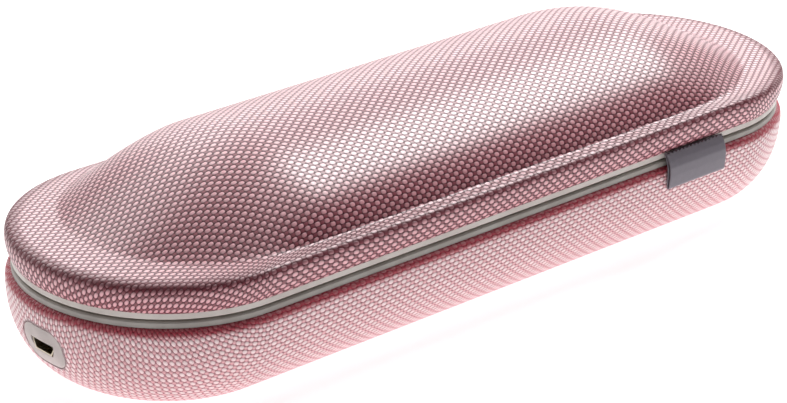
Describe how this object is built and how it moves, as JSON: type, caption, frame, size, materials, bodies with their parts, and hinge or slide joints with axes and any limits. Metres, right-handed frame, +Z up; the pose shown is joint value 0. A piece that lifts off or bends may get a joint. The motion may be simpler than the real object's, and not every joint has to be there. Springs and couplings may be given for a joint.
{
  "type": "electric toothbrush travel case",
  "caption": "Rounded hinged travel case with a woven cover, moulded rims, an inside charging cradle for a toothbrush and a small power inlet at one end.",
  "frame": {"origin": "centre of the case's footprint on the surface it stands on", "axes": "+X along the case away from the power inlet, +Y towards the hinge at the back, +Z up"},
  "size_m": [0.2264, 0.0742, 0.0504],
  "materials": {
    "woven_cover": "thick woven yarn",
    "shell_core": "moulded, matt",
    "rim_plastic": "fine texture",
    "tray_plastic": "fine texture",
    "pad_rubber": "soft, matt",
    "pin_steel": "drawn",
    "magnet_nickel": "plated",
    "surround_plastic": "satin",
    "inlet_shell": "stamped, plated",
    "inlet_tongue": "moulded",
    "contact_gold": "plated",
    "board_laminate": "solder mask",
    "chip_plastic": "moulded",
    "bobbin_plastic": "moulded",
    "coil_copper": "enamelled wire",
    "ferrite": "sintered",
    "lead_sleeve": "insulated wire",
    "screw_steel": "plated",
    "label_weave": "fine satin weave"
  },
  "bodies": {
    "base": {"base_cover": "woven_cover", "base_core": "shell_core", "base_rim": "rim_plastic", "charging_tray": "tray_plastic", "cradle_pads": "pad_rubber", "hinge_pins": "pin_steel", "base_magnets": "magnet_nickel", "port_bezel": "surround_plastic", "usb_shell": "inlet_shell", "usb_tongue": "inlet_tongue", "usb_contacts": "contact_gold", "circuit_board": "board_laminate", "control_chip": "chip_plastic", "board_components": "chip_plastic", "coil_bobbin": "bobbin_plastic", "charging_coil": "coil_copper", "ferrite_rod": "ferrite", "coil_leads": "lead_sleeve", "board_screws": "screw_steel", "tray_screws": "screw_steel"},
    "lid": {"lid_cover": "woven_cover", "lid_core": "shell_core", "lid_rim": "rim_plastic", "lid_lining": "tray_plastic", "lid_pads": "pad_rubber", "lid_magnets": "magnet_nickel", "woven_label": "label_weave"}
  },
  "joints": [
    {"name": "lid_hinge", "type": "hinge", "parent": "base", "child": "lid", "pos_m": [0, 0.0356, 0.02555], "axis": [-1, 0, 0], "range_deg": [0, 110]}
  ]
}
